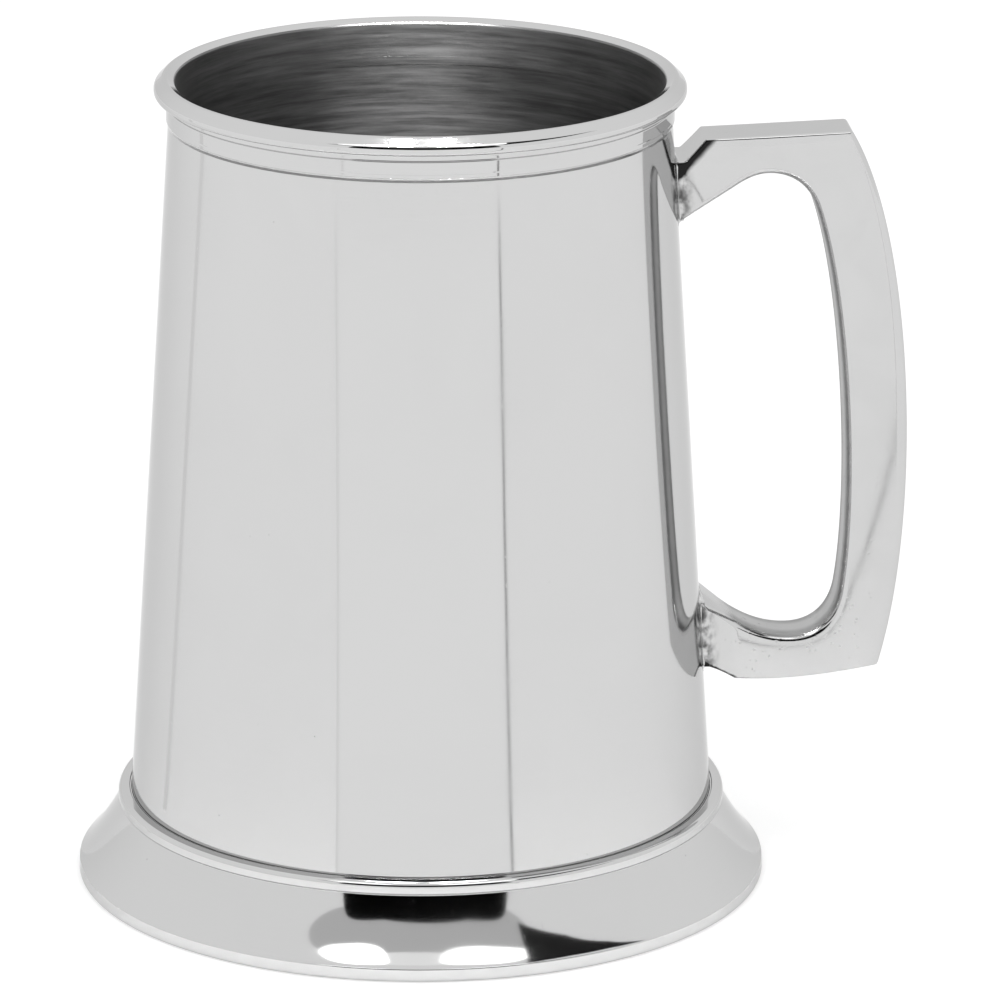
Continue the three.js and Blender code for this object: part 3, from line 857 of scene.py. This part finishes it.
def cast_polish(name):
    finish = Finish(name)
    place, _, radius, z = turned_coordinates(finish)
    facing = finish.node("NewGeometry", {}, {}, output="Normal")
    ragged = 0.3 * finish.noise(place, 0.7, 2.0)
    raw_and_shade = unbuffed_and_shaded(finish, place, radius, z, facing, ragged)
    flank_darkening = chamfer_and_crease_darkening(finish, radius, z, facing, ragged)
    across = finish.node("SeparateXYZ", {}, {0: place}, output="Y")
    edge_share = across.size().ramp(0.8, 2.8)
    dull_and_shade = (0.3 + 0.7 * edge_share) * (0.55 + 0.45 * finish.noise(place, 0.45, 3.0, 0.6))
    smear = finish.noise(place, 0.08, 3.0, 0.55, 0.8).ramp(0.3, 0.75)
    grain = finish.noise(place, 1.6, 3.0, 0.6)
    low_bend = z.ramp(46, 37) * radius.ramp(44, 50) * radius.ramp(72, 66)
    pits = finish.node("TexVoronoi", {}, {"Vector": place, "Scale": 1.1}).ramp(0.34, 0.1)
    pitted = pits * finish.noise(place, 0.35, 2.0).ramp(0.5, 0.66) * (0.03 + 0.5 * low_bend + 0.47 * raw_and_shade)
    hairs = scratches(finish, place, (0.1, 0.3, 0), 1.9, 0.28)
    shade = finish.blend(smear * 0.6 + grain * 0.4, PEWTER, PEWTER * 0.95)
    shade = finish.tint(pitted * 0.5, shade, (0.25, 0.25, 0.25, 1))
    # Painted shade: the faces inside the loop turn dark grey, over their raw finish.
    shade = finish.tint(raw_and_shade * dull_and_shade, shade, (0.2, 0.2, 0.2, 1))
    # The side faces under the chamfers and in the creases by the barrel are darkened to near black.
    shade = finish.tint(flank_darkening, shade, (0.02, 0.02, 0.02, 1))
    rough = 0.055 + 0.05 * smear + 0.05 * hairs + 0.25 * pitted + 0.3 * raw_and_shade + 0.2 * flank_darkening
    wavy = waviness(finish, place, 0.12, 0.022)
    cast = finish.bump(grain, 0.0012, wavy)
    normal = finish.bump(1 - pitted, 0.05, cast)
    return finish.metal(shade, rough, normal, {"Specular Tint": GRAZING})


def solder(name):
    finish = Finish(name)
    place = millimetres(finish)
    lumps = finish.noise(place, 0.6, 2.0)
    grain = finish.noise(place, 3.0, 3.0)
    shade = finish.blend(lumps * 0.6 + grain * 0.4, 0.5, 0.66)
    normal = finish.bump(lumps + 0.2 * grain, 0.03)
    return finish.metal(shade, 0.14 + 0.12 * grain, normal, {})


handle_polish = cast_polish("polished_handle")
solder_finish = solder("wiped_solder")

# %% [markdown]
# ## Putting finishes and pieces together
# Every piece rides on the one rigid body, because all the joints are soldered. Each stands for its own CAD
# node, which stays hidden for collision, and names the material slot that its finish comes from.

# %% Dress and attach the pieces
WORKED = [
    (barrel, "barrel", "polished_pewter", [barrel_polish, shaded_satin_inside]),
    (mouth_mount, "mouth_mount", "polished_pewter", [mount_polish, shaded_satin_inside]),
    (foot, "foot", "polished_pewter", [foot_polish, shaded_satin_base]),
    (base_disc, "base_disc", "satin_pewter", [shaded_satin_base, shaded_satin_base]),
    (handle, "handle", "polished_pewter", [handle_polish]),
    (mouth_seam, "mouth_solder", "solder", [solder_finish, shaded_satin_inside]),
    (foot_seam, "foot_solder", "solder", [solder_finish, solder_finish]),
    (base_seam, "base_solder", "solder", [solder_finish, solder_finish]),
    (upper_seam, "handle_upper_solder", "solder", [solder_finish]),
    (lower_seam, "handle_lower_solder", "solder", [solder_finish]),
]

for piece, node, slot, finishes in WORKED:
    for finish in finishes:
        piece.data.materials.append(finish)
    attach(piece, "root")
    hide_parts(node)
print(len(WORKED), "pieces ride on root")

# %% [markdown]
# ## The camera
# A long lens from a metre away and a quarter of a metre above the rim, looking down at the handle's side.
# The aim is given as the three angles a photographer would set: pan, tilt and roll. The camera circles the
# barrel's axis, so its place is given as a distance and a bearing from that axis.

# %% Camera
BEARING = math.radians(-4)  # the camera stands this far round from square-on to the handle
DISTANCE, HEIGHT = 1021.8, 371.4
PAN, TILT, ROLL = 0.0118, 0.2974, 0.0029
LENS = 253.08


def rotated(vector, angle):
    return Matrix.Rotation(angle, 3, "Z") @ Vector(vector)


forward = Vector((math.sin(PAN) * math.cos(TILT), math.cos(PAN) * math.cos(TILT), -math.sin(TILT)))
level = Vector((math.cos(PAN), -math.sin(PAN), 0))
upright = level.cross(forward)
right = level * math.cos(ROLL) + upright * math.sin(ROLL)
up = upright * math.cos(ROLL) - level * math.sin(ROLL)
axes = [rotated(axis, BEARING) for axis in (right, up, -forward)]
spot = rotated((0, -DISTANCE, 0), BEARING) + Vector((AXIS_X, 0, HEIGHT))

camera = bpy.data.objects.new("camera", bpy.data.cameras.new("camera"))
camera.data.lens, camera.data.sensor_width = LENS, 36
camera.matrix_world = Matrix.Translation(spot * MM) @ Matrix(axes).transposed().to_4x4()
bpy.context.scene.collection.objects.link(camera)
bpy.context.scene.camera = camera
print("camera at", [round(v, 4) for v in spot * MM])

# %% [markdown]
# ## The studio
# Polished metal shows only what stands round it, so the studio matters as much as the metal: a white tent
# all round, a pale floor, two soft boxes overhead that make the brightest bands, and a dark opening at the
# camera's side that draws the black bar on the foot. Panels could also be lamps, but emitting cards have
# the crisp corners that show in a mirror finish. The camera doesn't see any of the cards directly.

# %% Floor and tent
def plain(name, level, clear=False):
    """A surface of even brightness, for cards and strips. A clear one adds its light to what is behind."""
    made = bpy.data.materials.new(name)
    made.use_nodes = True
    tree = made.node_tree
    tree.nodes.clear()
    glow = tree.nodes.new("ShaderNodeEmission")
    glow.inputs["Color"].default_value = (1, 1, 1, 1)
    glow.inputs["Strength"].default_value = level
    out = tree.nodes.new("ShaderNodeOutputMaterial")
    light = glow
    if clear:
        light = tree.nodes.new("ShaderNodeAddShader")
        tree.links.new(glow.outputs[0], light.inputs[0])
        tree.links.new(tree.nodes.new("ShaderNodeBsdfTransparent").outputs[0], light.inputs[1])
    tree.links.new(light.outputs[0], out.inputs["Surface"])
    return made


TENT = 1.0
world = bpy.data.worlds.new("tent")
bpy.context.scene.world = world
world.use_nodes = True
world.node_tree.nodes["Background"].inputs["Color"].default_value = (1, 1, 1, 1)
world.node_tree.nodes["Background"].inputs["Strength"].default_value = TENT
bpy.context.scene.view_settings.view_transform = "Standard"

FLOOR_GREY, FLOOR_GLOW = 0.6, 0.47  # the glow keeps the floor bright and the contact shadow soft
FLOOR_REACH = 12000  # half of its width
paint = Finish("white_floor").surface({
    "Base Color": (FLOOR_GREY, FLOOR_GREY, FLOOR_GREY, 1), "Roughness": 0.9,
    "Emission Color": (1, 1, 1, 1), "Emission Strength": FLOOR_GLOW,
})
floor_corners = [(x * FLOOR_REACH, y * FLOOR_REACH, 0) for x, y in ((-1, -1), (1, -1), (1, 1), (-1, 1))]
floor = new_object("floor", floor_corners, [(0, 1, 2, 3)])
floor.data.materials.append(paint)
floor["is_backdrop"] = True

# %% [markdown]
# ## Cards round the object
# A card is placed by where it appears from the object: its sides as bearings from the camera's direction,
# its top and bottom as heights above the horizon, in degrees. That is how a reflection is planned, since
# the shape seen in the metal depends on those angles and hardly at all on the distance. Where two cards
# overlap, the nearer covers the other. They throw no shadow and are only there to be reflected. The satin
# inside spreads a reflection so thin that its streaks need two far stronger cards, which shine on the
# barrel, the mount and their solder alone, or they would burn out on the rest.

# %% Cards
BOX = 2.4  # a soft box against the white tent's 1
HOT_BOX = 250  # set so that the satin inside shows two bright streaks
CARD_CENTRE = 10  # the height that bearings and rises are taken from


def toward(bearing, rise, distance, height):
    """A point seen from the axis at a bearing and rise in degrees from the camera's side."""
    heading = math.radians(bearing - 90) + BEARING
    flat, lift = distance * math.cos(math.radians(rise)), distance * math.sin(math.radians(rise))
    return (AXIS_X + flat * math.cos(heading), flat * math.sin(heading), height + lift)


def reflected_only(made, level, clear=False):
    """Dresses a card and hides it from everything but reflections."""
    made.data.materials.append(plain(made.name, level, clear))
    for seen in ("visible_camera", "visible_diffuse", "visible_shadow", "visible_transmission"):
        setattr(made, seen, False)
    made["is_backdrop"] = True
    return made


def patch(name, level, outline, distance, clear=False):
    """An emitting patch of a sphere round the object, inside an outline of (bearing, rise) points."""
    middle = [sum(p[i] for p in outline) / len(outline) for i in (0, 1)]
    verts = [toward(*point, distance, CARD_CENTRE) for point in [middle, *outline]]
    count = len(outline)
    faces = [(0, k + 1, (k + 1) % count + 1) for k in range(count)]
    return reflected_only(new_object(name, verts, faces), level, clear)


def card(name, level, bearings, rises, squareness, distance, clear=False, steps=64):
    """A rounded patch. Squareness 0 is a rectangle, 1 an oval."""
    middle = [(bearings[0] + bearings[1]) / 2, (rises[0] + rises[1]) / 2]
    outline = []
    for k in range(steps):
        c, s = math.cos(math.tau * (k + 0.5) / steps), math.sin(math.tau * (k + 0.5) / steps)
        bearing = middle[0] + (bearings[1] - bearings[0]) / 2 * math.copysign(abs(c) ** squareness, c)
        rise = middle[1] + (rises[1] - rises[0]) / 2 * math.copysign(abs(s) ** squareness, s)
        outline.append((bearing, rise))
    return patch(name, level, outline, distance, clear)


def shine_only_on(made, pieces):
    """Keeps a card's light off everything else, as flags on stands would."""
    lit = bpy.data.collections.new(made.name + "_lit")
    for piece in pieces:
        lit.objects.link(piece)
    made.light_linking.receiver_collection = lit


card("grey_screen", 0.62, (-46, 44), (34, 57), 0.75, 1600)
card("dark_opening", 0.0, (-30.5, 34), (12, 40.5), 0.22, 1560)
card("box_gap", 1.15, (-20, 14), (53, 66), 0.5, 1550)
card("left_box", BOX, (-46, -15), (48, 66), 0.65, 1540)
card("right_box", BOX, (9, 52), (49.5, 66), 0.65, 1540)
flag_outline = [(39, 40), (48, 54), (64, 66), (70, 62), (77, 58),
                (90, 52), (104, 47), (80, 45), (59, 42.5)]
patch("dark_flag", 0.02, flag_outline, 1520)
for name, bearings in (("left_streak", (-36, -4)), ("right_streak", (8, 42))):
    streak = card(name, HOT_BOX, bearings, (60, 80), 0.6, 1500, clear=True)
    shine_only_on(streak, [barrel, mouth_mount, mouth_seam])

# %% [markdown]
# ## Sheets on the floor
# The side of the barrel leans back slightly, so it reflects the floor in front of it. A bright sheet lies
# there, and the edges of the sheets show as fine upright lines on the barrel. Each edge is a narrow strip
# laid along the path that light takes to one upright line of the barrel and on to the camera, so that its
# reflection stays straight from top to bottom. The strips start well in front of the foot.

# %% Sheet edges
SHEET_NEAR, SHEET_FAR = 55, 800  # from the barrel's surface
BARREL_MIDDLE = 41.5  # radius of the barrel where the reflection is planned


def floor_sheet(name, level, near, far, lift):
    """A strip just above the floor, between two bearings near the barrel and two far from it."""
    rows, columns = 12, 8
    verts = []
    for i in range(rows + 1):
        out = SHEET_NEAR + (SHEET_FAR - SHEET_NEAR) * i / rows
        sides = [near[k] + (far[k] - near[k]) * i / rows for k in (0, 1)]
        for j in range(columns + 1):
            bearing = sides[0] + (sides[1] - sides[0]) * j / columns
            base, tip = toward(bearing / 2, 0, BARREL_MIDDLE, lift), toward(bearing, 0, out, lift)
            verts.append((base[0] + tip[0] - AXIS_X, base[1] + tip[1], lift))
    wide = columns + 1
    faces = [(i * wide + j, i * wide + j + 1, (i + 1) * wide + j + 1, (i + 1) * wide + j)
             for i in range(rows) for j in range(columns)]
    return reflected_only(new_object(name, verts, faces), level)


floor_sheet("front_sheet", 1.1, (-32, 35), (-38, 35), 0.3)
floor_sheet("right_sheet_edge", 0.4, (34.6, 35.6), (34.6, 35.6), 0.6)
floor_sheet("left_sheet_edge", 0.94, (-32.5, -31.6), (-38.5, -37.3), 0.6)
floor_sheet("far_sheet_edge", 0.94, (-121, -118), (-117, -114), 0.6)

# %% [markdown]
# The finished pieces must fill the CAD model's box to within half a millimetre: the rolled lip is a little
# lower. Both boxes are printed as plain numbers.

# %% Measure the pieces, print both boxes and finish
visual_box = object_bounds()


def plain_box(box):
    return [[float(v) for v in corner] for corner in box]


for label, box in (("cad", cad_box), ("visual", visual_box)):
    print(label, [[round(v, 5) for v in corner] for corner in plain_box(box)])
